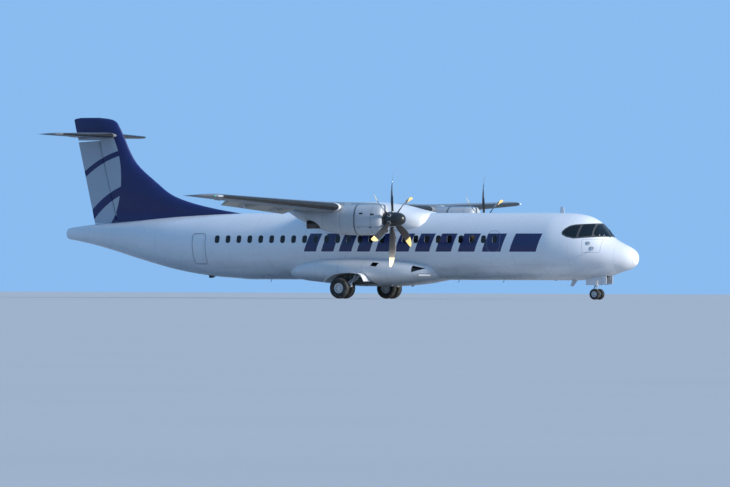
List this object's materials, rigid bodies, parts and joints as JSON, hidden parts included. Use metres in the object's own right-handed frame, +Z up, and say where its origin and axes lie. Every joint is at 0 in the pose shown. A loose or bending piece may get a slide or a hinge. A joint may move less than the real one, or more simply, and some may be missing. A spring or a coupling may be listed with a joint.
{
  "type": "twin-turboprop regional airliner",
  "caption": "High-wing regional airliner with wing-mounted turboprops, a swept T-tail and fuselage-side landing gear, parked with its flaps lowered.",
  "frame": {"origin": "on the ground at the middle of the object's bounding box, half its length aft of the nose tip and on its centre plane", "axes": "+X forward along the fuselage to the nose, +Y to the left wing tip, +Z up"},
  "size_m": [27.166, 27.05, 7.65],
  "materials": {
    "white_paint": "gloss",
    "navy_paint": "gloss",
    "grey_paint": "satin",
    "black_paint": "satin",
    "glazing": "gloss",
    "gear_metal": "satin",
    "hot_metal": "satin",
    "tyre_rubber": "matte"
  },
  "bodies": {
    "airframe": {"radome": "white_paint", "nose_section": "white_paint", "cockpit_glazing": "glazing", "cabin_barrel": "white_paint", "tail_section": "white_paint", "tail_boom": "white_paint", "tail_cone": "white_paint", "service_door": "white_paint", "belly_fairing": "white_paint", "wing_fairing": "white_paint", "wing_centre": "grey_paint", "wing_left": "grey_paint", "wing_right": "grey_paint", "fin": "navy_paint", "fin_cap": "navy_paint", "tailplane": "grey_paint", "nacelle_left": "white_paint", "nacelle_right": "white_paint", "exhaust_left": "hot_metal", "exhaust_right": "hot_metal", "engine_left": "gear_metal", "engine_right": "gear_metal", "main_leg_left": "gear_metal", "main_leg_right": "gear_metal", "main_gear_door_left": "white_paint", "main_gear_door_right": "white_paint", "nose_leg": "gear_metal", "nose_gear_door_left": "white_paint", "nose_gear_door_right": "white_paint", "antenna_top": "white_paint", "antenna_belly": "white_paint"},
    "propeller_left": {"propeller_left": "black_paint", "spinner_left": "black_paint"},
    "propeller_right": {"propeller_right": "black_paint", "spinner_right": "black_paint"},
    "main_wheels_left": {"main_wheels_left": "gear_metal", "main_tyre_inner_left": "tyre_rubber", "main_tyre_outer_left": "tyre_rubber"},
    "main_wheels_right": {"main_wheels_right": "gear_metal", "main_tyre_inner_right": "tyre_rubber", "main_tyre_outer_right": "tyre_rubber"},
    "nose_strut": {"nose_strut": "gear_metal"},
    "nose_wheels": {"nose_wheels": "gear_metal", "nose_tyre_left": "tyre_rubber", "nose_tyre_right": "tyre_rubber"},
    "rudder": {"rudder": "white_paint"},
    "elevator_left": {"elevator_left": "grey_paint"},
    "elevator_right": {"elevator_right": "grey_paint"},
    "aileron_left": {"aileron_left": "grey_paint"},
    "aileron_right": {"aileron_right": "grey_paint"},
    "flap_inner_left": {"flap_inner_left": "grey_paint"},
    "flap_inner_right": {"flap_inner_right": "grey_paint"},
    "flap_outer_left": {"flap_outer_left": "grey_paint"},
    "flap_outer_right": {"flap_outer_right": "grey_paint"},
    "passenger_door": {"passenger_door": "white_paint"},
    "cargo_door": {"cargo_door": "white_paint"}
  },
  "joints": [
    {"name": "propeller_left_spin", "type": "hinge", "parent": "airframe", "child": "propeller_left", "pos_m": [4.353, 4.05, 3.27], "axis": [1, 0, 0], "continuous": true},
    {"name": "propeller_right_spin", "type": "hinge", "parent": "airframe", "child": "propeller_right", "pos_m": [4.353, -4.05, 3.27], "axis": [1, 0, 0], "continuous": true},
    {"name": "main_wheels_left_roll", "type": "hinge", "parent": "airframe", "child": "main_wheels_left", "pos_m": [0.953, 2.05, 0.432], "axis": [0, 1, 0], "continuous": true},
    {"name": "main_wheels_right_roll", "type": "hinge", "parent": "airframe", "child": "main_wheels_right", "pos_m": [0.953, -2.05, 0.432], "axis": [0, 1, 0], "continuous": true},
    {"name": "nose_steering", "type": "hinge", "parent": "airframe", "child": "nose_strut", "pos_m": [11.723, 0, 0.5], "axis": [0, 0, 1], "range_deg": [-60, 60]},
    {"name": "nose_wheels_roll", "type": "hinge", "parent": "nose_strut", "child": "nose_wheels", "pos_m": [11.723, 0, 0.225], "axis": [0, 1, 0], "continuous": true},
    {"name": "rudder_turn", "type": "hinge", "parent": "airframe", "child": "rudder", "pos_m": [-11.137, 0, 3.225], "axis": [-0.2508, 0, 0.968], "range_deg": [-27, 27]},
    {"name": "elevator_left_turn", "type": "hinge", "parent": "airframe", "child": "elevator_left", "pos_m": [-12.4377, 0.23, 6.88], "axis": [-0.0058, 1, 0], "range_deg": [-15, 25]},
    {"name": "elevator_right_turn", "type": "hinge", "parent": "airframe", "child": "elevator_right", "pos_m": [-12.4377, -0.23, 6.88], "axis": [0.0058, 1, 0], "range_deg": [-15, 25]},
    {"name": "aileron_left_turn", "type": "hinge", "parent": "airframe", "child": "aileron_left", "pos_m": [0.3367, 10.45, 3.9985], "axis": [-0.0043, 0.9992, 0.0406], "range_deg": [-18, 18]},
    {"name": "aileron_right_turn", "type": "hinge", "parent": "airframe", "child": "aileron_right", "pos_m": [0.3367, -10.45, 3.9985], "axis": [0.0043, 0.9992, -0.0406], "range_deg": [-18, 18]},
    {"name": "flap_inner_left_turn", "type": "hinge", "parent": "airframe", "child": "flap_inner_left", "pos_m": [0.207, 1.64, 3.5196], "axis": [0, 1, 0.0006], "range_deg": [0, 30]},
    {"name": "flap_inner_right_turn", "type": "hinge", "parent": "airframe", "child": "flap_inner_right", "pos_m": [0.207, -1.64, 3.5196], "axis": [0, 1, -0.0006], "range_deg": [0, 30]},
    {"name": "flap_outer_left_turn", "type": "hinge", "parent": "airframe", "child": "flap_outer_left", "pos_m": [0.2073, 4.8, 3.5262], "axis": [0.0031, 0.9989, 0.047], "range_deg": [0, 30]},
    {"name": "flap_outer_right_turn", "type": "hinge", "parent": "airframe", "child": "flap_outer_right", "pos_m": [0.2073, -4.8, 3.5262], "axis": [-0.0031, 0.9989, -0.047], "range_deg": [0, 30]},
    {"name": "passenger_door_hinge", "type": "hinge", "parent": "airframe", "child": "passenger_door", "pos_m": [-6.112, 1.031, 1.296], "axis": [-1, 0, 0], "range_deg": [0, 118]},
    {"name": "cargo_door_hinge", "type": "hinge", "parent": "airframe", "child": "cargo_door", "pos_m": [9.9655, 1.297, 2.784], "axis": [1, 0, 0], "range_deg": [0, 100]}
  ],
  "couplings": [
    {"joint": "elevator_right_turn", "follows": "elevator_left_turn", "ratio": 1},
    {"joint": "aileron_right_turn", "follows": "aileron_left_turn", "ratio": -1},
    {"joint": "flap_inner_left_turn", "follows": "flap_outer_left_turn", "ratio": 1},
    {"joint": "flap_inner_right_turn", "follows": "flap_outer_left_turn", "ratio": 1},
    {"joint": "flap_outer_right_turn", "follows": "flap_outer_left_turn", "ratio": 1}
  ]
}
